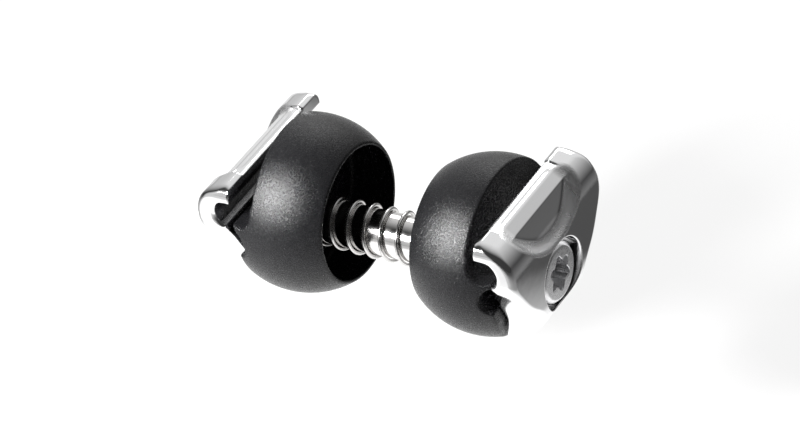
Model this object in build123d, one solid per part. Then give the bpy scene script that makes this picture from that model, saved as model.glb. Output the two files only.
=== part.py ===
from build123d import *

import os
from math import cos, pi, radians, sin, sqrt

# Saddle-rail clamp set: two polished outer clamps, two hollow dome cradles, a cross bolt,
# a barrel nut and the spring that holds the halves apart.
# Frame, in millimetres: X runs along the cross bolt toward its head, Y along the saddle rails,
# Z up.  The origin is on the bolt axis, halfway between the two dome mouths.

# --- driving dimensions ------------------------------------------------------------------
RAIL_D = 7.0            # round saddle rail
RAIL_CLEAR = 0.05       # groove radius over the rail's
RAIL_X = 28.3           # rail centre line, each side of the middle, as assembled on the bench
RAIL_Z = 10.8           # rail centre line above the bolt axis

DOME_R = 18.25          # outside of the cup
MOUTH_WALL = 0.7        # thickness of the lip of the cup; the wall grows behind it
CAVITY_SHIFT = 1.2      # the hollow is centred this much nearer the mouth
DOME_X = 21.2           # centre of the sphere
DOME_Z = 3.7            # the sphere sits above the bolt axis
MOUTH_X = 10.0          # plane of the open mouth
FACE_X = 24.4           # flat outer face beside the rail
SEAT_X = 22.0           # floor of the cup, where the spring bears
MOUTH_R = sqrt(DOME_R**2 - (DOME_X - MOUTH_X)**2)
CAVITY_R = sqrt((MOUTH_R - MOUTH_WALL)**2 + (DOME_X - CAVITY_SHIFT - MOUTH_X)**2)

EAR_HALF = 18.2         # half length of the outer clamp along the rail
EAR_FACE_X = 36.1       # outer face round the bolt head
SHOULDER_R = 7.4        # round back of the clamp over the rail
SHOULDER_X = 28.7
SHOULDER_Z = 10.3
EAR_EDGE = 1.2          # softened edges of the forging
WING_CORNER = 3.0       # upper corners of the wings, seen from the front

HEAD_D = 12.9
HEAD_FACE_X = 35.3
HEAD_H = 4.0
COUNTERBORE_D = 15.0
SHANK_D = 6.0
SHANK_TIP_X = 3.2
SOCKET_D = 7.8          # across the six lobes
SOCKET_WAIST_D = 5.7
SOCKET_DEPTH = 3.4

BARREL_D = 9.2
BARREL_BORE = 6.1
BARREL_TIP_X = 13.0
BARREL_HOLE = 9.6
SHANK_HOLE = 6.6
FLATS = 10.8            # across the flats that key the barrel nut

WIRE_D = 0.8
COIL_OD = 11.1
COIL_PITCH = 3.85

PARTS = "parts"


def along_rail(face, half):
    return extrude(face, amount=half, both=True)


def rod_x(radius, x0, x1, y=0.0, z=0.0):
    """A round bar along the bolt axis from x0 to x1."""
    return Plane((x0, y, z), z_dir=(1, 0, 0)) * extrude(Circle(radius), amount=x1 - x0)


def arc_point(cx, cz, r, deg):
    return (cx + r * cos(radians(deg)), cz + r * sin(radians(deg)))


# --- outer clamp (ear) -------------------------------------------------------------------
def ear_side():
    """Side profile: rail groove inside, round shoulder over it, flat boss, swept-in toe."""
    r = RAIL_D / 2 + RAIL_CLEAR
    top = arc_point(RAIL_X, RAIL_Z, r, 98)
    mid = arc_point(RAIL_X, RAIL_Z, r, 15)
    lip = arc_point(RAIL_X, RAIL_Z, r, -57)
    crown = (SHOULDER_X, SHOULDER_Z + SHOULDER_R)
    flank = (SHOULDER_X + SHOULDER_R, SHOULDER_Z)
    return make_face(Wire([
        Line(top, (27.7, 17.25)),
        Line((27.7, 17.25), crown),
        ThreePointArc(crown, arc_point(SHOULDER_X, SHOULDER_Z, SHOULDER_R, 45), flank),
        Line(flank, (EAR_FACE_X, -2.0)),
        Spline([(EAR_FACE_X, -2.0), (35.1, -6.6), (32.0, -10.3), (29.6, -13.4), (28.9, -14.7)],
               tangents=[(0, -1), (-0.5, -1)]),
        ThreePointArc((28.9, -14.7), (27.6, -15.6), (26.5, -14.3)),
        Spline([(26.5, -14.3), (26.9, -11.5), (28.4, -7.0), (29.3, -3.0), (29.45, 0.5),
                (29.6, 4.2), (30.2, 7.0)], tangents=[(0.02, 1), (0.35, 1)]),
        Line((30.2, 7.0), lip),
        ThreePointArc(lip, mid, top),
    ]))


def front_outline(x, flank, toe):
    """Front outline in the plane at x: wings along the rail, flanks drawn in to a toe."""
    edges = []
    top = SHOULDER_Z + SHOULDER_R + 0.1
    r = WING_CORNER
    for s in (1, -1):
        edges.append(Line((x, 0, top), (x, s * (EAR_HALF - r), top)))
        mid = (x, s * (EAR_HALF - r + r * sin(pi / 4)), top - r + r * sin(pi / 4))
        edges.append(ThreePointArc((x, s * (EAR_HALF - r), top), mid, (x, s * EAR_HALF, top - r)))
        edges.append(Line((x, s * EAR_HALF, top - r), (x, s * EAR_HALF, 9.5)))
        edges.append(Spline([(x, s * y, z) for y, z in flank],
                            tangents=[(0, -0.05 * s, -1), (0, -0.42 * s, -1)]))
        edges.append(Spline([(x, s * y, z) for y, z in toe],
                            tangents=[(0, -0.42 * s, -1), (0, -s, 0)]))
    return make_face(Wire(edges))


def ear_front():
    """The flanks lean in toward the outer face, so it is drawn between two outlines."""
    inner = front_outline(
        25.0, [(EAR_HALF, 9.5), (16.0, 4.4), (14.1, -1.2), (12.5, -6.2), (10.0, -12.4)],
        [(10.0, -12.4), (7.6, -15.2), (0, -16.4)])
    outer = front_outline(
        37.0, [(EAR_HALF, 9.5), (16.0, 4.2), (12.6, -0.4), (9.2, -3.6), (7.4, -7.0)],
        [(7.4, -7.0), (5.6, -9.6), (0, -11.0)])
    return loft([inner, outer], ruled=True)


def scoop_wire(x, vertex_z, spread):
    """A D outline at depth x: half width squared is spread times the height over its vertex."""
    top = 21.0
    n = 9
    pts = []
    for i in range(n):
        h = -1 + 2 * i / (n - 1)
        y = h * sqrt(spread * (top - vertex_z))
        pts.append((x, y, vertex_z + y * y / spread))
    curve = Spline(pts)
    return make_face(Wire([curve, Line(curve @ 1, curve @ 0)]))


def scoop():
    """Drafted half-moon cut in the round shoulder, with a two-facet floor."""
    x0, z0, k0 = 29.4, 14.2, 36.0
    x1, z1, k1 = 39.0, 5.2, 22.5
    walls = loft([scoop_wire(x0, z0, k0), scoop_wire(x1, z1, k1)], ruled=True)
    floor = Plane.XZ * make_face(Polyline([
        (29.4, 22), (29.4, 17.1), (30.3, 17.1), (32.6, 15.4), (34.0, 11.3), (34.9, 6.0),
        (41, 6.0), (41, 22), (29.4, 22)]))
    cut = walls & along_rail(floor, 20)
    crown = Pos(29.4, 0, 18.1) * Box(5.0, 23.2, 2.0)
    return cut + crown


def outer_clamp(bore):
    """The right-hand clamp, with a shank or barrel hole of the given diameter."""
    body = along_rail(Plane.XZ * ear_side(), EAR_HALF + 2)
    body = body & ear_front()
    ends = [e for e in body.edges()
            if abs(e.center().Y) > EAR_HALF - WING_CORNER and e.center().X > SHOULDER_X + 0.5
            and e.center().Z > SHOULDER_Z - 0.5 and e.length > 2]
    body = soften(body, ends, (EAR_EDGE, 0.9, 0.6))
    body = body - scoop()
    body = body - rod_x(COUNTERBORE_D / 2, HEAD_FACE_X - HEAD_H, EAR_FACE_X + 5)
    body = body - rod_x(bore / 2, 20, EAR_FACE_X)
    return body


def soften(body, edges, radii):
    """Round the edges by the largest of the radii that the shape takes."""
    for r in radii:
        try:
            out = fillet(edges, r)
        except Exception:
            continue
        if out.is_valid:
            return out
    return body


# --- dome cradle -------------------------------------------------------------------------
def dome_side():
    """Side profile of what the rail, the clamp and its toe take off the ball."""
    r = RAIL_D / 2 + RAIL_CLEAR
    start = arc_point(RAIL_X, RAIL_Z, r, 163)
    low = arc_point(RAIL_X, RAIL_Z, r, 225)
    lip = arc_point(RAIL_X, RAIL_Z, r, 288)
    return make_face(Wire([
        Line((FACE_X, 30), (FACE_X, 12.8)),
        Line((FACE_X, 12.8), start),
        ThreePointArc(start, low, lip),
        Line(lip, (29.6, 7.1)),
        Line((29.6, 7.1), (29.25, 6.2)),
        ThreePointArc((29.25, 6.2), (26.75, 2.9), (28.3, 0.25)),
        ThreePointArc((28.3, 0.25), (28.85, 0.1), (29.05, -0.5)),
        Line((29.05, -0.5), (28.9, -3.2)),
        Line((28.9, -3.2), (28.0, -6.9)),
        Line((28.0, -6.9), (26.1, -12.6)),
        Line((26.1, -12.6), (25.6, -30)),
        Line((25.6, -30), (60, -30)),
        Line((60, -30), (60, 30)),
        Line((60, 30), (FACE_X, 30)),
    ]))


def dome_cradle():
    """The right-hand cup: mouth toward the middle, rail cradle and toe ledge outside."""
    ball = Pos(DOME_X, 0, DOME_Z) * Sphere(DOME_R)
    ball = ball - Pos(MOUTH_X - 20, 0, 0) * Box(40, 60, 60)
    ball = ball - along_rail(Plane.XZ * dome_side(), 30)
    hollow = Pos(DOME_X - CAVITY_SHIFT, 0, DOME_Z) * Sphere(CAVITY_R)
    hollow = hollow - Pos(SEAT_X + 20, 0, 0) * Box(40, 60, 60)
    cup = ball - hollow
    cup = cup - rod_x(BARREL_HOLE / 2, MOUTH_X, 40)
    rim = [e for e in cup.edges() if abs(e.center().X - MOUTH_X) < 0.01]
    return soften(cup, rim, (0.25, 0.15))


# --- bolt, barrel nut and spring ---------------------------------------------------------
def six_lobes(x):
    """Six-lobe drive outline in the plane at x."""
    big, small = SOCKET_D / 2, SOCKET_WAIST_D / 2
    pts = []
    for i in range(24):
        a = 2 * pi * i / 24
        r = (big + small) / 2 + (big - small) / 2 * cos(6 * a)
        pts.append((r * cos(a), r * sin(a)))
    return Plane((x, 0, 0), z_dir=(1, 0, 0)) * make_face(Spline(pts, periodic=True))


def clamp_bolt():
    head = rod_x(HEAD_D / 2, HEAD_FACE_X - HEAD_H, HEAD_FACE_X)
    outer = [e for e in head.edges() if abs(e.center().X - HEAD_FACE_X) < 0.01]
    head = chamfer(outer, 0.9)
    shank = rod_x(SHANK_D / 2, SHANK_TIP_X, HEAD_FACE_X - HEAD_H)
    tip = [e for e in shank.edges() if abs(e.center().X - SHANK_TIP_X) < 0.01]
    shank = chamfer(tip, 0.6)
    socket = extrude(six_lobes(HEAD_FACE_X - SOCKET_DEPTH), amount=10)
    return head + shank - socket


def barrel_nut():
    head = rod_x(HEAD_D / 2, -HEAD_FACE_X, -HEAD_FACE_X + 3.6)
    head = head & Pos(-HEAD_FACE_X + 1.8, 0, 0) * Box(3.6, HEAD_D + 1, FLATS)
    edge = [e for e in head.edges() if abs(e.center().X + HEAD_FACE_X) < 0.01]
    head = soften(head, edge, (0.7, 0.4))
    tube = rod_x(BARREL_D / 2, -HEAD_FACE_X + 3.6, BARREL_TIP_X)
    tip = [e for e in tube.edges() if abs(e.center().X - BARREL_TIP_X) < 0.01]
    tube = chamfer(tip, 0.5)
    return head + tube - rod_x(BARREL_BORE / 2, -HEAD_FACE_X - 1, BARREL_TIP_X + 1)


def coil(x, pitch, turns, angle):
    """Round wire along a right-hand helix that starts at x, turned by angle about the axis."""
    r = (COIL_OD - WIRE_D) / 2
    path = Pos(x, 0, 0) * Rot(X=angle) * Rot(Y=90) * Helix(pitch, pitch * turns, r)
    start = Plane(path @ 0, z_dir=path % 0)
    return sweep(start * Circle(WIRE_D / 2), path=path, is_frenet=True)


def spring():
    """Compression coil between the two cup floors, with a closed turn at each end."""
    x0, x1 = -SEAT_X + WIRE_D / 2, SEAT_X - WIRE_D / 2
    closed = WIRE_D * 1.06
    turns = (x1 - x0 - 2 * closed) / COIL_PITCH
    wire = coil(x0, closed, 1.0, 0)
    wire = wire + coil(x0 + closed, COIL_PITCH, turns, 0)
    return wire + coil(x1 - closed, closed, 1.0, 360 * (turns % 1))


def left_of(shape):
    return shape.mirror(Plane.YZ)


def left_clamp():
    """Mirror-image clamp whose counterbore is filled in to two flats for the barrel nut."""
    body = left_of(outer_clamp(BARREL_HOLE))
    floor_x = -HEAD_FACE_X + 3.6
    ring = rod_x(COUNTERBORE_D / 2 + 0.3, floor_x - 1.9, floor_x)
    ring = ring + rod_x(COUNTERBORE_D / 2 + 0.3, floor_x, -HEAD_FACE_X + HEAD_H)
    key = Pos(floor_x - 3, 0, 0) * Box(6, COUNTERBORE_D + 2, FLATS + 0.3)
    ring = ring - key - rod_x(BARREL_HOLE / 2, -40, -20)
    return body + ring


def main():
    os.makedirs(PARTS, exist_ok=True)
    right_ear = outer_clamp(SHANK_HOLE)
    right_dome = dome_cradle()
    made = {
        "right_outer_clamp": right_ear,
        "left_outer_clamp": left_clamp(),
        "right_dome_cradle": right_dome,
        "left_dome_cradle": left_of(right_dome),
        "clamp_bolt": clamp_bolt(),
        "barrel_nut": barrel_nut(),
        "spring": spring(),
    }
    for name, shape in made.items():
        solid = shape.solids()[0] if len(shape.solids()) == 1 else shape
        print(name, len(shape.solids()), round(shape.volume, 1), shape.bounding_box())
        export_step(solid, os.path.join(PARTS, name + ".step"))


if __name__ == "__main__":
    main()
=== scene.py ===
# %% [markdown]
# # A saddle rail clamp set
# The set holds the rails of a bicycle saddle on a seatpost. Two bright forged clamps pull two black
# hollow cups together over the rails. A bolt runs through the middle into a long barrel nut, and a
# wire spring round the nut keeps the cups apart while the rails are laid in.
# The CAD model is loaded first. It is the fixed frame: every piece made here goes where it says.

import math

import bpy
import numpy as np
from mathutils import Matrix, Vector


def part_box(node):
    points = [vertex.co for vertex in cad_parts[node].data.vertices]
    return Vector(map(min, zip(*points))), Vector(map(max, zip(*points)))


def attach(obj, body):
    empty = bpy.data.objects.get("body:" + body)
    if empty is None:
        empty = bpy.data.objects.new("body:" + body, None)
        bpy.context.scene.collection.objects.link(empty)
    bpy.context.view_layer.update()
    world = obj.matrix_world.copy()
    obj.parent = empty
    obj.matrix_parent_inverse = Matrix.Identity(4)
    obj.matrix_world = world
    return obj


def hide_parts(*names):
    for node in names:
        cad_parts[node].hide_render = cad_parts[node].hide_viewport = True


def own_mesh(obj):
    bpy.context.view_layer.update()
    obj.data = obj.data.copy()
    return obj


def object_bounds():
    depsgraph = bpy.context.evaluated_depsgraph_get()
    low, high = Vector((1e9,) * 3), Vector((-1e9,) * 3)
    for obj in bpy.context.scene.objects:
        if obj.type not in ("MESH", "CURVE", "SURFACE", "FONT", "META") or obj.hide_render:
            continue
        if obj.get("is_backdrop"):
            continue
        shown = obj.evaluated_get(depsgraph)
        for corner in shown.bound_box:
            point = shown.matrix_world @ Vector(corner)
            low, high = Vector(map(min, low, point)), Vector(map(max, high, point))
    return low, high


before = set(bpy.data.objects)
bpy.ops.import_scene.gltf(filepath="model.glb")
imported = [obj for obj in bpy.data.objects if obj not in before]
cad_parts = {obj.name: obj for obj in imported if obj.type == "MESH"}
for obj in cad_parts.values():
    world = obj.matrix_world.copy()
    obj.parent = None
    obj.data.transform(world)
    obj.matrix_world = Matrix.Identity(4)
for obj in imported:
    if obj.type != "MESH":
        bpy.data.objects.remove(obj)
cad_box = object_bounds()
MM = 0.001
for name in sorted(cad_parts):
    lo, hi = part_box(name)
    print(name, [round(v / MM, 2) for v in (*lo, *hi)])

# %% [markdown]
# ## Shapes from a distance rule
# The clamps and the cups are forgings: every edge is a little round, and polished metal shows the
# smallest flat or dent. A mesh drawn by hand would need hundreds of careful loops. Instead each piece
# is a rule that gives, for any point, how far it is outside the metal (or inside, as a negative
# number). Rules are easy to join, cut and round, and the skin is then grown where the rule gives 0.

# %% Join, cut and round
def both(a, b, r):
    """The part inside a and b, with the edge between them rounded to radius r."""
    u = np.maximum(a + r, 0)
    v = np.maximum(b + r, 0)
    return np.minimum(np.maximum(a, b), -r) + np.sqrt(u * u + v * v)


def cut(a, b, r):
    """What is left of a once b is cut away, with the rim rounded to radius r."""
    return both(a, -b, r)


def either(a, b, r):
    """The part inside a or b, with a fillet of radius r where they meet."""
    return -both(-a, -b, r)


def outline_distance(points, u, v):
    """Distance to a closed outline, negative inside it."""
    pts = np.asarray(points, float)
    u, v = np.broadcast_arrays(u, v)
    best = np.full(u.shape, 1e9)
    inside = np.zeros(u.shape, bool)
    for (x0, y0), (x1, y1) in zip(pts, np.roll(pts, -1, axis=0)):
        dx, dy = x1 - x0, y1 - y0
        length = dx * dx + dy * dy
        if length < 1e-12:
            continue
        t = np.clip(((u - x0) * dx + (v - y0) * dy) / length, 0, 1)
        best = np.minimum(best, (u - x0 - t * dx) ** 2 + (v - y0 - t * dy) ** 2)
        if y0 != y1:
            crossed = ((y0 <= v) & (v < y1)) | ((y1 <= v) & (v < y0))
            inside ^= crossed & (u < x0 + (v - y0) / dy * dx)
    return np.where(inside, -1, 1) * np.sqrt(best)


# %% [markdown]
# ## Growing the skin
# The space round a piece is cut into small cells. Each cell that the surface passes through gets one
# point, and points of neighbouring cells are joined into four-sided faces. A few short steps then
# bring every point exactly onto the surface, so that reflections run over it without a ripple.

# %% Skin of a rule
def lattice(rule, lo, hi, cell):
    """The rule's value at every corner of the cells."""
    n = [int(math.ceil((b - a) / cell)) + 1 for a, b in zip(lo, hi)]
    axes = [a + cell * np.arange(k) for a, k in zip(lo, n)]
    x, y, z = np.meshgrid(*axes, indexing="ij", sparse=True)
    return axes, rule(x, y, z)


def skin_points(axes, f, cell):
    """One point per cell that the surface passes: the mean of its crossings on the cell's edges."""
    n = np.array(f.shape)
    total = np.zeros((*(n - 1), 3))
    count = np.zeros(n - 1)
    inside = f < 0
    for axis in range(3):
        lo = [slice(None)] * 3
        hi = [slice(None)] * 3
        lo[axis], hi[axis] = slice(0, -1), slice(1, None)
        a, b = f[tuple(lo)], f[tuple(hi)]
        hit = inside[tuple(lo)] != inside[tuple(hi)]
        t = np.where(hit, a / np.where(hit, a - b, 1), 0)
        others = [k for k in range(3) if k != axis]
        for p in (0, 1):
            for q in (0, 1):
                s = [slice(None)] * 3
                s[others[0]] = slice(p, n[others[0]] - 1 + p)
                s[others[1]] = slice(q, n[others[1]] - 1 + q)
                h, w = hit[tuple(s)], t[tuple(s)]
                count += h
                total[..., axis] += w
                total[..., others[0]] += h * p
                total[..., others[1]] += h * q
    used = count > 0
    start = np.array([a[0] for a in axes])
    corner = np.argwhere(used)
    return used, start + (corner + total[used] / count[used][:, None]) * cell


def skin_faces(f, used):
    """One face for each cell edge that the surface crosses."""
    number = np.full(used.shape, -1)
    number[used] = np.arange(int(used.sum()))
    inside = f < 0
    faces = []
    for axis in range(3):
        u, v = (axis + 1) % 3, (axis + 2) % 3
        s = [slice(1, -1)] * 3
        s[axis] = slice(0, -1)
        e = [slice(1, -1)] * 3
        e[axis] = slice(1, None)
        a, b = inside[tuple(s)], inside[tuple(e)]
        at = np.argwhere(a != b)
        out = a[tuple(at.T)]
        base = at.copy()
        base[:, u] += 1
        base[:, v] += 1
        ring = []
        for du, dv in ((1, 1), (0, 1), (0, 0), (1, 0)):
            c = base.copy()
            c[:, u] -= du
            c[:, v] -= dv
            ring.append(number[tuple(c.T)])
        quad = np.stack(ring, 1)
        quad[~out] = quad[~out][:, ::-1]
        faces.append(quad)
    return np.concatenate(faces)


def settle(rule, points, steps=2, reach=0.01):
    """Moves the points along the rule's slope until it gives 0 there."""
    p = points.copy()
    for _ in range(steps):
        value = rule(p[:, 0], p[:, 1], p[:, 2])
        slope = np.zeros_like(p)
        for k in range(3):
            ahead = p.copy()
            ahead[:, k] += reach
            slope[:, k] = (rule(*ahead.T) - value) / reach
        size = np.maximum((slope**2).sum(1), 0.25)
        p -= np.clip(value / size, -0.1, 0.1)[:, None] * slope
    return p


def grow(name, rule, lo, hi, cell):
    """A mesh object in metres whose skin lies where the rule, in millimetres, gives 0."""
    pad = 2 * cell
    axes, f = lattice(rule, [v - pad for v in lo], [v + pad for v in hi], cell)
    used, points = skin_points(axes, f, cell)
    faces = skin_faces(f, used)
    points = settle(rule, points)
    mesh = bpy.data.meshes.new(name)
    mesh.from_pydata(points * MM, [], faces.tolist())
    mesh.update()
    mesh.shade_smooth()
    obj = bpy.data.objects.new(name, mesh)
    bpy.context.collection.objects.link(obj)
    print(name, len(points), "points", len(faces), "faces")
    return obj, points


# %% [markdown]
# ## Outlines of the outer clamp
# Seen along the rail, the clamp is a hook: a groove of the rail's size inside, a round shoulder over
# it, a flat boss for the bolt and a toe that sweeps in. Seen from the front, its wings narrow to
# that toe. A few points and a smooth curve through them are enough for each.

# %% Curves through a few points
def unit(v):
    return np.asarray(v, float) / np.linalg.norm(v)


def smooth_through(points, start, end, n=16):
    """A smooth curve through the points that leaves along start and arrives along end."""
    p = np.asarray(points, float)
    h = np.linalg.norm(np.diff(p, axis=0), axis=1)
    m = len(p)
    a = np.eye(m)
    b = np.zeros((m, 2))
    b[0], b[-1] = unit(start), unit(end)
    for i in range(1, m - 1):
        a[i, i - 1 : i + 2] = h[i], 2 * (h[i - 1] + h[i]), h[i - 1]
        left, right = (p[i] - p[i - 1]) / h[i - 1], (p[i + 1] - p[i]) / h[i]
        b[i] = 3 * (h[i] * left + h[i - 1] * right)
    d = np.linalg.solve(a, b)
    curve = []
    for i in range(m - 1):
        for t in np.arange(n) / n:
            s = 1 - t
            ends = s * s * (1 + 2 * t) * p[i] + t * t * (1 + 2 * s) * p[i + 1]
            curve.append(ends + h[i] * (t * s * s * d[i] - t * t * s * d[i + 1]))
    return [*curve, p[-1]]


def arc(cx, cy, r, a0, a1, n=24):
    """Points of an arc from angle a0 to a1, in degrees."""
    turn = np.radians(np.linspace(a0, a1, n))
    return list(zip(cx + r * np.cos(turn), cy + r * np.sin(turn)))


def arc_by(p, q, r, n=14):
    """Points of the arc from p to r that passes q."""
    p, q, r = (np.asarray(v, float) for v in (p, q, r))
    m = np.array([q - p, r - p])
    centre = p + np.linalg.solve(m, (m**2).sum(1) / 2)
    a = [math.degrees(math.atan2(*(v - centre)[::-1])) for v in (p, q, r)]
    if (a[1] - a[0]) % 360 > (a[2] - a[0]) % 360:
        sweep = (a[2] - a[0]) % 360 - 360
    else:
        sweep = (a[2] - a[0]) % 360
    return arc(*centre, np.linalg.norm(p - centre), a[0], a[0] + sweep, n)


# %% Sizes shared with the solids
RAIL_R, RAIL_X, RAIL_Z = 3.55, 28.3, 10.8
EAR_HALF, EAR_FACE = 18.2, 36.1
SHOULDER_R, SHOULDER_X, SHOULDER_Z = 7.4, 28.7, 10.3
DOME_R, DOME_X, DOME_Z, MOUTH = 18.25, 21.2, 3.7, 10.0
HEAD_R, HEAD_FACE, HEAD_H = 6.45, 35.3, 4.0
print("rail to rail:", 2 * RAIL_X, "mm; cup:", 2 * DOME_R, "mm")

# %% Side outline of the clamp
toe_outer = [(EAR_FACE, -2.0), (35.1, -6.6), (32.0, -10.3), (29.6, -13.4), (28.9, -14.7)]
toe_inner = [(26.5, -14.3), (26.9, -11.5), (28.4, -7.0), (29.3, -3.0), (29.45, 0.5)]
toe_inner += [(29.6, 4.2), (30.2, 7.0)]
clamp_side = [(27.7, 17.25)]
clamp_side += arc(SHOULDER_X, SHOULDER_Z, SHOULDER_R, 90, 0, 40)
clamp_side += smooth_through(toe_outer, (0, -1), (-0.5, -1))
clamp_side += arc_by((28.9, -14.7), (27.6, -15.6), (26.5, -14.3))
clamp_side += smooth_through(toe_inner, (0.02, 1), (0.35, 1))
clamp_side += arc(RAIL_X, RAIL_Z, RAIL_R, -57, 98, 60)
print("side outline:", len(clamp_side), "points")


# %% Front outlines of the clamp, at the cup and at the outer face
def half_front(flank, toe):
    """Right half of a front outline, closed far beyond the middle."""
    top = SHOULDER_Z + SHOULDER_R + 0.1
    pts = [(-40, top), *arc(EAR_HALF - 3, top - 3, 3, 90, 0, 16)]
    pts += smooth_through(flank, (-0.05, -1), (-0.42, -1))
    pts += smooth_through(toe, (-0.42, -1), (-1, 0))
    return [*pts, (-40, toe[-1][1])]


flank_in = [(EAR_HALF, 9.5), (16.0, 4.4), (14.1, -1.2), (12.5, -6.2), (10.0, -12.4)]
flank_out = [(EAR_HALF, 9.5), (16.0, 4.2), (12.6, -0.4), (9.2, -3.6), (7.4, -7.0)]
front_in = half_front(flank_in, [(10.0, -12.4), (7.6, -15.2), (0, -16.4)])
front_out = half_front(flank_out, [(7.4, -7.0), (5.6, -9.6), (0, -11.0)])
print("front outlines:", len(front_in), len(front_out), "points")

# %% [markdown]
# ## The outer clamp
# The two outlines are joined, then the half-moon scoop, the seat of the bolt head and the hole are
# cut away. The forging's outer edges are rounded by more than a millimetre, the lips of the groove
# by much less, as where a cutter has finished the groove after forging.

# %% Rule of the outer clamp
scoop_floor = [(29.4, 22), (29.4, 17.1), (30.3, 17.1), (32.6, 15.4), (34.0, 11.3)]
scoop_floor += [(34.9, 6.0), (41, 6.0), (41, 22)]


def ramp(v, a, b):
    """0 below a, 1 above b and smooth between."""
    t = np.clip((v - a) / (b - a), 0, 1)
    return t * t * (3 - 2 * t)


def scoop_wall(x, y, z):
    """Distance to the drafted half-moon wall, negative in the hollow."""
    t = (x - 29.4) / 9.6
    low = 14.2 - 9.0 * t
    width = (15.65 + 3.2 * t) ** 2 / (6.8 + 9.0 * t)
    slope = 2 * y / width
    return (low + y * y / width - z) / np.sqrt(1.5 + slope * slope)


def scoop(x, y, z):
    hollow = both(scoop_wall(x, y, z), outline_distance(scoop_floor, x, z), 0.8)
    crown = np.maximum(np.maximum(np.abs(y) - 11.6, 17.1 - z), np.abs(x - 29.4) - 2.5)
    return either(hollow, crown, 0.3)


def clamp_body(x, y, z, hole):
    side = outline_distance(clamp_side, x, z)
    inner = outline_distance(front_in, np.abs(y), z)
    outer = outline_distance(front_out, np.abs(y), z)
    t = (x - 25) / 12
    front = inner * (1 - t) + outer * t
    body = both(side, front, 0.3 + 1.0 * ramp(x, 28.5, 31.5))
    body = cut(body, scoop(x, y, z), 0.45)
    round_axis = np.sqrt(y * y + z * z)
    seat = np.maximum(round_axis - 7.5, HEAD_FACE - HEAD_H - x)
    body = cut(body, seat, 0.3)
    return cut(body, round_axis - hole, 0.2)


def right_clamp_rule(x, y, z):
    return clamp_body(x, y, z, 3.3)


def left_clamp_rule(x, y, z):
    """The mirror image, with a ring between two flats that keeps the nut from turning."""
    x = -x
    body = clamp_body(x, y, z, 4.8)
    round_axis = np.sqrt(y * y + z * z)
    ring = np.maximum(np.maximum(round_axis - 7.8, 31.0 - x), x - 33.6)
    ring = cut(ring, np.maximum(np.abs(z) - 5.55, 31.7 - x), 0.12)
    return np.minimum(body, cut(ring, round_axis - 4.8, 0.12))


# %% Grow both clamps
def node_box(name):
    """The box of a CAD solid, in millimetres."""
    lo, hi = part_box(name)
    return [v / MM for v in lo], [v / MM for v in hi]


CLAMP_CELL = 0.2
box = node_box("right_outer_clamp")
right_clamp, right_pts = grow("right_clamp_skin", right_clamp_rule, *box, CLAMP_CELL)
box = node_box("left_outer_clamp")
left_clamp, left_pts = grow("left_clamp_skin", left_clamp_rule, *box, CLAMP_CELL)

# %% [markdown]
# ## The dome cradle
# Each cup is a ball cut open at the mouth and hollowed, so that the wall is thin at its lip. The
# rail's cradle, a finger notch below it and the ledge for the clamp's toe all come from one outline
# along the rail, as they would from one form cutter.

# %% Rule of the cup
cup_side = [(24.4, 30), (24.4, 12.8)]
cup_side += arc(RAIL_X, RAIL_Z, RAIL_R, 163, 288, 50)
cup_side += [(29.6, 7.1)]
cup_side += arc_by((29.25, 6.2), (26.75, 2.9), (28.3, 0.25), 30)
cup_side += arc_by((28.3, 0.25), (28.85, 0.1), (29.05, -0.5), 8)
cup_side += [(28.9, -3.2), (28.0, -6.9), (26.1, -12.6), (25.6, -30), (60, -30), (60, 30)]
mouth_r = math.sqrt(DOME_R**2 - (DOME_X - MOUTH) ** 2)
hollow_x = DOME_X - 1.2
hollow_r = math.hypot(mouth_r - 0.7, hollow_x - MOUTH)
print("mouth", round(2 * mouth_r, 2), "mm across; hollow radius", round(hollow_r, 2))


def cup_rule(x, y, z):
    up = z - DOME_Z
    ball = np.sqrt((x - DOME_X) ** 2 + y * y + up * up) - DOME_R
    cup = both(ball, MOUTH - x, 0.25)
    cup = cut(cup, outline_distance(cup_side, x, z), 0.4)
    hollow = np.sqrt((x - hollow_x) ** 2 + y * y + up * up) - hollow_r
    cup = cut(cup, both(hollow, x - 22.0, 0.8), 0.15)
    return cut(cup, np.sqrt(y * y + z * z) - 4.8, 0.2)


def left_cup_rule(x, y, z):
    return cup_rule(-x, y, z)


# %% Grow both cups
CUP_CELL = 0.27
box = node_box("right_dome_cradle")
right_cup, _ = grow("right_cup_skin", cup_rule, *box, CUP_CELL)
box = node_box("left_dome_cradle")
left_cup, _ = grow("left_cup_skin", left_cup_rule, *box, CUP_CELL)

# %% [markdown]
# ## The bolt head and the barrel nut
# Both are turned parts. The head's six-lobe recess is a wavy circle, so one cosine gives all six
# lobes and the ribs between them. The barrel nut is a plain polished sleeve with a head that two
# flats keep from turning in the left clamp.

# %% Rules of the turned parts
LOBE_MEAN, LOBE_WAVE, LOBE_DEPTH = 3.375, 0.525, 3.4


def recess(x, y, z):
    """Distance to the wall of the six-lobe recess, negative in the hollow."""
    r = np.sqrt(y * y + z * z) + 1e-9
    turn = np.arctan2(y, z)
    wave = r - LOBE_MEAN - LOBE_WAVE * np.cos(6 * turn)
    lean = 6 * LOBE_WAVE * np.sin(6 * turn) / np.maximum(r, 1.5)
    wall = wave / np.sqrt(1 + lean * lean)
    taper = 0.35 * (r - 3.9)
    return both(wall, HEAD_FACE - LOBE_DEPTH - x - np.minimum(taper, 0), 0.15)


def bolt_head_rule(x, y, z):
    r = np.sqrt(y * y + z * z)
    head = both(r - HEAD_R, np.maximum(x - HEAD_FACE, HEAD_FACE - HEAD_H - x), 0.15)
    head = both(head, (r + x - HEAD_R - HEAD_FACE + 0.9) * 0.7071, 0.15)
    return cut(head, recess(x, y, z), 0.12)


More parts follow.
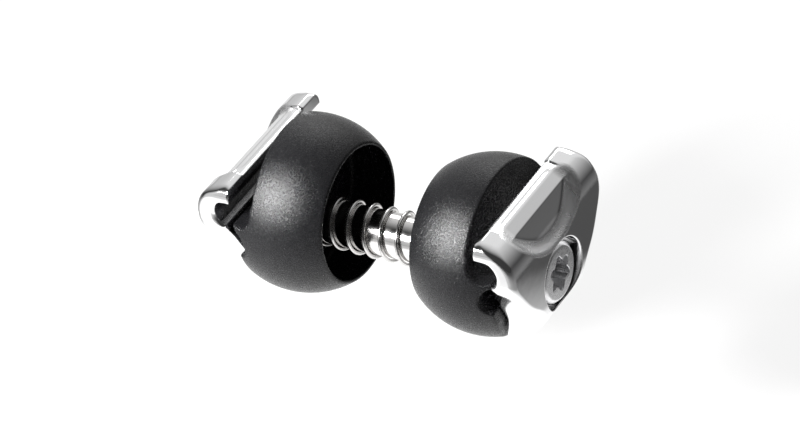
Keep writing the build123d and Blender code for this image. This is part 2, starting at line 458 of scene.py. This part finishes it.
def barrel_rule(x, y, z):
    r = np.sqrt(y * y + z * z)
    tube = both(r - 4.6, np.maximum(x - 13.0, -31.9 - x), 0.4)
    head = both(r - HEAD_R, np.maximum(-HEAD_FACE - x, x + 31.7), 0.4)
    head = both(head, np.abs(z) - 5.4, 0.25)
    return cut(either(tube, head, 0.1), r - 3.05, 0.25)


# %% Grow the turned parts
head_lo, head_hi = node_box("clamp_bolt")
head_lo = [HEAD_FACE - HEAD_H, *head_lo[1:]]
HEAD_CELL, BARREL_CELL = 0.12, 0.22
bolt_head, _ = grow("bolt_head_skin", bolt_head_rule, head_lo, head_hi, HEAD_CELL)
barrel, _ = grow("barrel_skin", barrel_rule, *node_box("barrel_nut"), BARREL_CELL)

# %% [markdown]
# ## The spring
# A coil follows a path, so Geometry Nodes make it: a line of points is wound round the bolt's axis
# and a round wire is drawn along it. The first and last turns lie close, as on a real spring that
# has to stand square on the cup's floor. The sizes are inputs of the tree, so that they can be tried.

# %% A small kit for node trees
def new_tree(title, inputs):
    tree = bpy.data.node_groups.new(title, "GeometryNodeTree")
    face = tree.interface
    face.new_socket(name="Geometry", in_out="OUTPUT", socket_type="NodeSocketGeometry")
    for label, value in inputs.items():
        kind = "NodeSocketInt" if isinstance(value, int) else "NodeSocketFloat"
        socket = face.new_socket(name=label, in_out="INPUT", socket_type=kind)
        socket.default_value = value
    return tree, tree.nodes.new("NodeGroupInput"), tree.nodes.new("NodeGroupOutput")


def maths(tree, kind, a, b=None, c=None):
    """A Math node fed by sockets or plain numbers."""
    node = tree.nodes.new("ShaderNodeMath")
    node.operation = kind
    for socket, value in zip(node.inputs, (a, b, c)):
        if value is None:
            continue
        if isinstance(value, (int, float)):
            socket.default_value = value
        else:
            tree.links.new(value, socket)
    return node.outputs[0]


def bake_tree(title, tree, values):
    """Runs the tree on an empty mesh and gives back the result as a plain mesh object."""
    holder = bpy.data.objects.new(title + "_holder", bpy.data.meshes.new(title))
    bpy.context.collection.objects.link(holder)
    modifier = holder.modifiers.new("grow", "NODES")
    modifier.node_group = tree
    for item in tree.interface.items_tree:
        if item.item_type == "SOCKET" and item.in_out == "INPUT" and item.name in values:
            modifier[item.identifier] = values[item.name]
    shown = holder.evaluated_get(bpy.context.evaluated_depsgraph_get())
    mesh = bpy.data.meshes.new_from_object(shown)
    holder.modifiers.clear()
    bpy.data.objects.remove(holder)
    mesh.name = title
    obj = bpy.data.objects.new(title, mesh)
    bpy.context.collection.objects.link(obj)
    print(title, len(mesh.vertices), "points", len(mesh.polygons), "faces")
    return obj


# %% Tree of the spring
def spring_tree(wire_material):
    sizes = {"Coil radius": 0.00515, "Wire radius": 0.0004, "Start": -0.0216, "Pitch": 0.00385}
    sizes |= {"Closed pitch": 0.00085, "Open turns": 10.78, "Points per turn": 72}
    tree, given, result = new_tree("wound_spring", sizes)
    pin = given.outputs
    turns = maths(tree, "ADD", pin["Open turns"], 2.0)
    count = maths(tree, "ADD", maths(tree, "MULTIPLY", turns, pin["Points per turn"]), 1.0)
    line = tree.nodes.new("GeometryNodeCurvePrimitiveLine")
    more = tree.nodes.new("GeometryNodeResampleCurve")
    tree.links.new(line.outputs[0], more.inputs["Curve"])
    tree.links.new(count, more.inputs["Count"])
    share = tree.nodes.new("GeometryNodeSplineParameter").outputs["Factor"]
    at = maths(tree, "MULTIPLY", share, turns)
    angle = maths(tree, "MULTIPLY", at, 2 * math.pi)
    first = maths(tree, "MINIMUM", at, 1.0)
    opened = maths(tree, "SUBTRACT", at, 1.0)
    opened = maths(tree, "MINIMUM", maths(tree, "MAXIMUM", opened, 0.0), pin["Open turns"])
    last = maths(tree, "SUBTRACT", maths(tree, "SUBTRACT", at, 1.0), pin["Open turns"])
    last = maths(tree, "MAXIMUM", last, 0.0)
    ends = maths(tree, "MULTIPLY", maths(tree, "ADD", first, last), pin["Closed pitch"])
    x = maths(tree, "MULTIPLY_ADD", opened, pin["Pitch"], maths(tree, "ADD", ends, pin["Start"]))
    y = maths(tree, "MULTIPLY", maths(tree, "SINE", angle), pin["Coil radius"])
    z = maths(tree, "MULTIPLY", maths(tree, "COSINE", angle), pin["Coil radius"])
    place = tree.nodes.new("ShaderNodeCombineXYZ")
    for socket, value in zip(place.inputs, (x, y, maths(tree, "MULTIPLY", z, -1.0))):
        tree.links.new(value, socket)
    move = tree.nodes.new("GeometryNodeSetPosition")
    tree.links.new(more.outputs[0], move.inputs["Geometry"])
    tree.links.new(place.outputs[0], move.inputs["Position"])
    wire = tree.nodes.new("GeometryNodeCurvePrimitiveCircle")
    wire.inputs["Resolution"].default_value = 16
    tree.links.new(pin["Wire radius"], wire.inputs["Radius"])
    sweep = tree.nodes.new("GeometryNodeCurveToMesh")
    sweep.inputs["Fill Caps"].default_value = True
    tree.links.new(move.outputs[0], sweep.inputs["Curve"])
    tree.links.new(wire.outputs[0], sweep.inputs["Profile Curve"])
    real = tree.nodes.new("GeometryNodeRealizeInstances")
    paint = tree.nodes.new("GeometryNodeSetMaterial")
    paint.inputs["Material"].default_value = wire_material
    tree.links.new(sweep.outputs[0], real.inputs[0])
    tree.links.new(real.outputs[0], paint.inputs["Geometry"])
    tree.links.new(paint.outputs[0], result.inputs[0])
    return tree, sizes

# %% [markdown]
# ## The threaded shank
# A thread is a wave that creeps along the bar by one pitch a turn. A flat grid is rolled into a bar
# and its radius follows that wave, so one formula gives every turn. The wave fades out where the
# plain part of the shank starts, and the first points are pulled to the axis to close the tip.

# %% Tree of the shank
def shank_tree(steel):
    sizes = {"Radius": 0.003, "Depth": 0.00052, "Pitch": 0.001, "Tip": 0.0032, "Length": 0.0283}
    sizes |= {"Thread end": 0.0215, "Rings": 340, "Points round": 48}
    tree, given, result = new_tree("threaded_shank", sizes)
    pin = given.outputs
    grid = tree.nodes.new("GeometryNodeMeshGrid")
    grid.inputs["Size X"].default_value = 1
    grid.inputs["Size Y"].default_value = 1
    tree.links.new(pin["Rings"], grid.inputs["Vertices X"])
    tree.links.new(pin["Points round"], grid.inputs["Vertices Y"])
    split = tree.nodes.new("ShaderNodeSeparateXYZ")
    tree.links.new(tree.nodes.new("GeometryNodeInputPosition").outputs[0], split.inputs[0])
    along = maths(tree, "ADD", split.outputs["X"], 0.5)
    round_it = maths(tree, "ADD", split.outputs["Y"], 0.5)
    x = maths(tree, "MULTIPLY_ADD", along, pin["Length"], pin["Tip"])
    phase = maths(tree, "SUBTRACT", maths(tree, "DIVIDE", x, pin["Pitch"]), round_it)
    wave = maths(tree, "ABSOLUTE", maths(tree, "SUBTRACT", maths(tree, "FRACT", phase), 0.5))
    crest = maths(tree, "MINIMUM", maths(tree, "MULTIPLY", wave, 2.5), 1.0)
    groove = maths(tree, "SUBTRACT", 1.0, crest)
    left = maths(tree, "SUBTRACT", pin["Thread end"], x)
    fade = maths(tree, "MULTIPLY_ADD", maths(tree, "DIVIDE", left, pin["Pitch"]), 0.6, 0.5)
    fade = maths(tree, "MINIMUM", maths(tree, "MAXIMUM", fade, 0.0), 1.0)
    sunk = maths(tree, "MULTIPLY", maths(tree, "MULTIPLY", groove, fade), pin["Depth"])
    radius = maths(tree, "SUBTRACT", pin["Radius"], sunk)
    from_tip = maths(tree, "SUBTRACT", x, pin["Tip"])
    tip = maths(tree, "ADD", maths(tree, "SUBTRACT", pin["Radius"], 0.0006), from_tip)
    radius = maths(tree, "MINIMUM", radius, tip)
    closed = maths(tree, "MULTIPLY", maths(tree, "GREATER_THAN", along, 0.0001), radius)
    radius = maths(tree, "MULTIPLY", closed, maths(tree, "LESS_THAN", along, 0.9999))
    angle = maths(tree, "MULTIPLY", round_it, 2 * math.pi)
    place = tree.nodes.new("ShaderNodeCombineXYZ")
    y = maths(tree, "MULTIPLY", maths(tree, "COSINE", angle), radius)
    z = maths(tree, "MULTIPLY", maths(tree, "SINE", angle), radius)
    for socket, value in zip(place.inputs, (x, y, z)):
        tree.links.new(value, socket)
    chain = [tree.nodes.new("GeometryNode" + k) for k in ("SetPosition", "MergeByDistance")]
    chain += [tree.nodes.new("GeometryNode" + k) for k in ("RealizeInstances", "SetMaterial")]
    tree.links.new(place.outputs[0], chain[0].inputs["Position"])
    chain[1].inputs["Distance"].default_value = 0.000002
    chain[3].inputs["Material"].default_value = steel
    at = grid.outputs["Mesh"]
    for node in chain:
        tree.links.new(at, node.inputs[0])
        at = node.outputs[0]
    tree.links.new(at, result.inputs[0])
    return tree, sizes


# %% [markdown]
# ## Finishes
# Five finishes are enough. The clamps are polished alloy that mirrors the room, with the grain of
# the forging left in the scoop. The cups have a black coat over a blasted surface, whose tiny dents
# catch the light one by one. The bolt is plainer satin steel, the nut and spring bright steel. The
# coat is written darker than it looks, because the near lamp is stronger than a plain level needs.

# %% A small kit for finishes
def new_finish(name, color, metallic, roughness):
    mat = bpy.data.materials.new(name)
    mat.use_nodes = True
    shader = mat.node_tree.nodes["Principled BSDF"]
    shader.inputs["Base Color"].default_value = (*color, 1)
    shader.inputs["Metallic"].default_value = metallic
    shader.inputs["Roughness"].default_value = roughness
    return mat, mat.node_tree, shader


def grain(tree, scale, detail=2.0, rough=0.5, stretch=(1, 1, 1)):
    """Noise on the piece's own coordinates; scale is in lumps per metre."""
    place = tree.nodes.new("ShaderNodeTexCoord")
    turn = tree.nodes.new("ShaderNodeMapping")
    turn.inputs["Scale"].default_value = stretch
    noise = tree.nodes.new("ShaderNodeTexNoise")
    noise.inputs["Scale"].default_value = scale
    noise.inputs["Detail"].default_value = detail
    noise.inputs["Roughness"].default_value = rough
    tree.links.new(place.outputs["Object"], turn.inputs[0])
    tree.links.new(turn.outputs[0], noise.inputs["Vector"])
    return noise.outputs["Fac"]


def spread(tree, value, low, high, start=0.3, end=0.7):
    """Maps a pattern to the range low to high."""
    node = tree.nodes.new("ShaderNodeMapRange")
    for label, number in zip(("From Min", "From Max", "To Min", "To Max"), (start, end, low, high)):
        node.inputs[label].default_value = number
    tree.links.new(value, node.inputs["Value"])
    return node.outputs[0]


def dents(tree, height, depth, strength=1.0, under=None):
    node = tree.nodes.new("ShaderNodeBump")
    node.inputs["Distance"].default_value = depth
    if isinstance(strength, (int, float)):
        node.inputs["Strength"].default_value = strength
    else:
        tree.links.new(strength, node.inputs["Strength"])
    tree.links.new(height, node.inputs["Height"])
    if under is not None:
        tree.links.new(under, node.inputs["Normal"])
    return node.outputs[0]


# %% Polished alloy with forging grain where the attribute says so
def polished_alloy():
    mat, tree, shader = new_finish("polished_alloy_finish", (0.9, 0.9, 0.905), 1.0, 0.07)
    as_forged = tree.nodes.new("ShaderNodeAttribute")
    as_forged.attribute_name = "as_forged"
    mask = as_forged.outputs["Fac"]
    smear = spread(tree, grain(tree, 260), 0.035, 0.1)
    rough = maths(tree, "MULTIPLY_ADD", mask, 0.22, smear)
    tree.links.new(rough, shader.inputs["Roughness"])
    swirl = dents(tree, grain(tree, 420, 1.0), 0.00003, 0.25)
    pits = dents(tree, grain(tree, 5200, 3.0, 0.7), 0.00012, mask, swirl)
    tree.links.new(pits, shader.inputs["Normal"])
    return mat


# %% Black coat over a blasted surface
def black_coat():
    mat, tree, shader = new_finish("black_coat_finish", (0.004, 0.004, 0.0045), 0.0, 0.22)
    tone = tree.nodes.new("ShaderNodeValToRGB")
    tone.color_ramp.elements[0].color = (0.003, 0.003, 0.0035, 1)
    tone.color_ramp.elements[1].color = (0.007, 0.007, 0.0075, 1)
    tree.links.new(grain(tree, 900, 3.0), tone.inputs["Fac"])
    tree.links.new(tone.outputs["Color"], shader.inputs["Base Color"])
    tree.links.new(spread(tree, grain(tree, 2600, 2.0), 0.2, 0.34), shader.inputs["Roughness"])
    blast = dents(tree, grain(tree, 4200, 2.0, 0.7), 0.00012, 0.85)
    tree.links.new(blast, shader.inputs["Normal"])
    shader.inputs["Specular IOR Level"].default_value = 0.22
    return mat


# %% Satin and bright steel
def satin_steel():
    mat, tree, shader = new_finish("satin_steel_finish", (0.86, 0.86, 0.87), 1.0, 0.3)
    tree.links.new(spread(tree, grain(tree, 1500, 3.0), 0.24, 0.36), shader.inputs["Roughness"])
    turned = grain(tree, 900, 2.0, 0.6, (6, 1, 1))
    tree.links.new(dents(tree, turned, 0.00003, 0.4), shader.inputs["Normal"])
    return mat


def bright_steel(name, color, roughness):
    mat, tree, shader = new_finish(name, color, 1.0, roughness)
    low, high = roughness * 0.7, roughness * 1.4
    tree.links.new(spread(tree, grain(tree, 700, 2.0), low, high), shader.inputs["Roughness"])
    drawn = grain(tree, 1500, 2.0, 0.5, (3, 1, 1))
    tree.links.new(dents(tree, drawn, 0.00002, 0.2), shader.inputs["Normal"])
    return mat


alloy_finish = polished_alloy()
coat_finish = black_coat()
bolt_finish = satin_steel()
nut_finish = bright_steel("polished_steel_finish", (0.78, 0.77, 0.76), 0.1)
wire_finish = bright_steel("drawn_wire_finish", (0.72, 0.71, 0.70), 0.16)
print("finishes:", [m.name for m in bpy.data.materials if m.name.endswith("_finish")])

# %% Where the forging grain shows
def mark_as_forged(obj, points, side):
    """Stores how much of the forging's grain is left at each point."""
    x, y, z = points[:, 0] * side, points[:, 1], points[:, 2]
    wall = np.abs(scoop_wall(x, y, z))
    in_scoop = (1 - ramp(wall, 0.25, 0.6)) * ramp(x, 29.6, 30.4) * ramp(17.4 - z, 0, 0.5)
    deep = 1 - 0.5 * ramp(np.abs(y), 8.0, 13.0)
    lip = (1 - ramp(x, 27.9, 28.7)) * ramp(z, 16.8, 17.0) * (1 - ramp(np.abs(y), 11.4, 11.8))
    value = np.maximum(in_scoop * deep, lip)
    layer = obj.data.attributes.new("as_forged", "FLOAT", "POINT")
    layer.data.foreach_set("value", value.astype(np.float32))
    print(obj.name, "forged share", round(float((value > 0.5).mean()), 4))


mark_as_forged(right_clamp, right_pts, 1)
mark_as_forged(left_clamp, left_pts, -1)

# %% Wind the spring and roll the shank
tree, sizes = spring_tree(wire_finish)
spring = bake_tree("wound_spring", tree, sizes)
tree, sizes = shank_tree(bolt_finish)
shank = bake_tree("threaded_shank", tree, sizes)
for piece in (spring, shank):
    piece.data.shade_smooth()

# %% [markdown]
# ## Putting the pieces on the frame
# Every piece takes the place of its CAD solid and rides on the same body, so that it moves as
# the solid does. The spring gets a mesh of its own.

# %% Dress, replace and ride
def outward(obj):
    """Turns a closed mesh right side out, judged by the volume it encloses."""
    mesh = obj.data
    co = np.array([v.co for v in mesh.vertices])
    mesh.calc_loop_triangles()
    tri = np.array([t.vertices[:] for t in mesh.loop_triangles])
    a, b, c = co[tri[:, 0]], co[tri[:, 1]], co[tri[:, 2]]
    volume = float(np.einsum("ij,ij->i", a, np.cross(b, c)).sum() / 6)
    if volume < 0:
        mesh.flip_normals()
    print(obj.name, "volume", round(abs(volume) / MM**3, 1), "mm3, triangles", len(tri))


def dress(obj, finish, body, node=None):
    outward(obj)
    obj.data.materials.clear()
    obj.data.materials.append(finish)
    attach(obj, body)
    if node:
        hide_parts(node)


dress(right_clamp, alloy_finish, "right_clamp", "right_outer_clamp")
dress(left_clamp, alloy_finish, "left_clamp", "left_outer_clamp")
dress(right_cup, coat_finish, "right_cradle", "right_dome_cradle")
dress(left_cup, coat_finish, "left_cradle", "left_dome_cradle")
dress(bolt_head, bolt_finish, "bolt", "clamp_bolt")
dress(shank, bolt_finish, "bolt")
dress(barrel, nut_finish, "left_clamp", "barrel_nut")
dress(spring, wire_finish, "left_cradle", "spring")
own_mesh(spring)

# %% [markdown]
# ## Floor, lamps and camera
# Polished metal shows nothing but its surroundings, so they are part of the finish. In gloss the
# floor is a white sheet under the set that ends a few centimetres out, so faces that look down are
# white and the shoulders dark. A pale wall far behind lights the upper facets, and a small lamp at
# the near left draws the sparkle on the cups. The camera sees the floor and the room white.

# %% Floor
SHEET_EDGE = 0.068, 0.096
GLOW_SHARE = 0.85


def white_floor():
    """Paper white, and in gloss a bright sheet that fades between the two sheet edges."""
    mat = bpy.data.materials.new("white_floor")
    mat.use_nodes = True
    tree = mat.node_tree
    tree.nodes.clear()
    paper = tree.nodes.new("ShaderNodeBsdfDiffuse")
    paper.inputs["Color"].default_value = (0.9, 0.9, 0.9, 1)
    glow = tree.nodes.new("ShaderNodeEmission")
    path = tree.nodes.new("ShaderNodeLightPath")
    split = tree.nodes.new("ShaderNodeSeparateXYZ")
    tree.links.new(tree.nodes.new("ShaderNodeTexCoord").outputs["Object"], split.inputs[0])
    x, y = split.outputs["X"], split.outputs["Y"]
    away = maths(tree, "MULTIPLY", x, x)
    away = maths(tree, "SQRT", maths(tree, "MULTIPLY_ADD", y, y, away))
    near = spread(tree, away, 1.0, 0.02, *SHEET_EDGE)
    across = maths(tree, "ABSOLUTE", maths(tree, "MULTIPLY", y, 0.8))
    sides = maths(tree, "ADD", maths(tree, "MULTIPLY", x, -0.6), across)
    bright_side = spread(tree, maths(tree, "DIVIDE", sides, away), 0.0, 0.75, 0.8, 0.97)
    sheet = maths(tree, "MAXIMUM", near, bright_side)
    strength = maths(tree, "MAXIMUM", sheet, path.outputs["Is Camera Ray"])
    tree.links.new(strength, glow.inputs["Strength"])
    seen = maths(tree, "MAXIMUM", path.outputs["Is Camera Ray"], path.outputs["Is Glossy Ray"])
    seen = maths(tree, "MAXIMUM", seen, path.outputs["Is Transmission Ray"])
    share = maths(tree, "MULTIPLY", seen, GLOW_SHARE)
    mix = tree.nodes.new("ShaderNodeMixShader")
    tree.links.new(share, mix.inputs["Fac"])
    tree.links.new(paper.outputs[0], mix.inputs[1])
    tree.links.new(glow.outputs[0], mix.inputs[2])
    out = tree.nodes.new("ShaderNodeOutputMaterial")
    tree.links.new(mix.outputs[0], out.inputs["Surface"])
    return mat


FLOOR_Z, FLOOR_HALF = -0.05, 3.0
signs = ((-1, -1), (1, -1), (1, 1), (-1, 1))
corners = [(a * FLOOR_HALF, b * FLOOR_HALF, FLOOR_Z) for a, b in signs]
floor_mesh = bpy.data.meshes.new("floor")
floor_mesh.from_pydata(corners, [], [(0, 1, 2, 3)])
floor = bpy.data.objects.new("floor", floor_mesh)
bpy.context.collection.objects.link(floor)
floor.data.materials.append(white_floor())
floor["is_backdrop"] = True


# %% Room
def lobe(tree, direction, low, high, start, end, power):
    """A pale patch of wall round a direction."""
    facing = tree.nodes.new("ShaderNodeVectorMath")
    facing.operation = "DOT_PRODUCT"
    facing.inputs[1].default_value = unit(direction)
    where = tree.nodes.new("ShaderNodeTexCoord").outputs["Generated"]
    tree.links.new(where, facing.inputs[0])
    share = spread(tree, facing.outputs["Value"], 0.0, 1.0, start, end)
    return maths(tree, "MULTIPLY_ADD", maths(tree, "POWER", share, power), high - low, low)


def room():
    """White to the camera, grey as soft light, and a dark room with pale walls in gloss."""
    world = bpy.data.worlds.new("room")
    bpy.context.scene.world = world
    world.use_nodes = True
    tree = world.node_tree
    tree.nodes.clear()
    path = tree.nodes.new("ShaderNodeLightPath")
    far_wall = lobe(tree, (-0.21, 0.79, 0.57), 0.04, 0.8, 0.3, 0.95, 1.3)
    near_wall = lobe(tree, (-0.70, -0.70, 0.15), 0.0, 0.6, 0.85, 0.98, 1.0)
    gloss = tree.nodes.new("ShaderNodeBackground")
    tree.links.new(maths(tree, "ADD", far_wall, near_wall), gloss.inputs["Strength"])
    soft = tree.nodes.new("ShaderNodeBackground")
    soft.inputs["Strength"].default_value = 0.35
    white = tree.nodes.new("ShaderNodeBackground")
    white.inputs["Strength"].default_value = 1.0
    for node in (gloss, soft, white):
        node.inputs["Color"].default_value = (1, 1, 1, 1)
    first = tree.nodes.new("ShaderNodeMixShader")
    tree.links.new(path.outputs["Is Glossy Ray"], first.inputs["Fac"])
    tree.links.new(soft.outputs[0], first.inputs[1])
    tree.links.new(gloss.outputs[0], first.inputs[2])
    second = tree.nodes.new("ShaderNodeMixShader")
    tree.links.new(path.outputs["Is Camera Ray"], second.inputs["Fac"])
    tree.links.new(first.outputs[0], second.inputs[1])
    tree.links.new(white.outputs[0], second.inputs[2])
    out = tree.nodes.new("ShaderNodeOutputWorld")
    tree.links.new(second.outputs[0], out.inputs["Surface"])


room()


# %% Lamps
def lamp(name, direction, distance, size, watts):
    """A square soft box that looks at the middle of the set."""
    light = bpy.data.lights.new(name, "AREA")
    light.shape = "RECTANGLE"
    light.size, light.size_y = size
    light.energy = watts
    obj = bpy.data.objects.new(name, light)
    bpy.context.collection.objects.link(obj)
    away = Vector(unit(direction))
    obj.location = away * distance
    obj.rotation_euler = (-away).to_track_quat("-Z", "Y").to_euler()
    obj.visible_camera = False


lamp("near_left_box", (-0.42, -0.71, 0.56), 0.22, (0.045, 0.045), 2.6)
lamp("far_top_box", (-0.30, 0.80, 0.52), 0.6, (0.3, 0.2), 0.8)

# %% Camera
TOWARD = Vector((0.469, -0.658, 0.589)).normalized()
RIGHT = Vector((0.861, 0.489, -0.140))
RIGHT = (RIGHT - TOWARD * RIGHT.dot(TOWARD)).normalized()
UP = TOWARD.cross(RIGHT)
AIM_LEFT, AIM_UP = 2 / 5.04, 6.7 / 5.04
CAMERA_AWAY = 0.9
aim = Vector((0, 0, 0.0037)) - RIGHT * AIM_LEFT * MM + UP * AIM_UP * MM
camera_data = bpy.data.cameras.new("camera")
camera_data.lens = 204.1
camera_data.sensor_width = 36
camera_data.clip_start = 0.01
camera = bpy.data.objects.new("camera", camera_data)
bpy.context.collection.objects.link(camera)
turn = Matrix((RIGHT, UP, TOWARD)).transposed().to_4x4()
camera.matrix_world = Matrix.Translation(aim + TOWARD * CAMERA_AWAY) @ turn
bpy.context.scene.camera = camera
bpy.context.scene.view_settings.view_transform = "Standard"

# %% Measure and finish
bpy.context.view_layer.update()
new_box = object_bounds()
for label, box in (("solids", cad_box), ("dressed", new_box)):
    print(label, [[round(c / MM, 2) for c in corner] for corner in box])
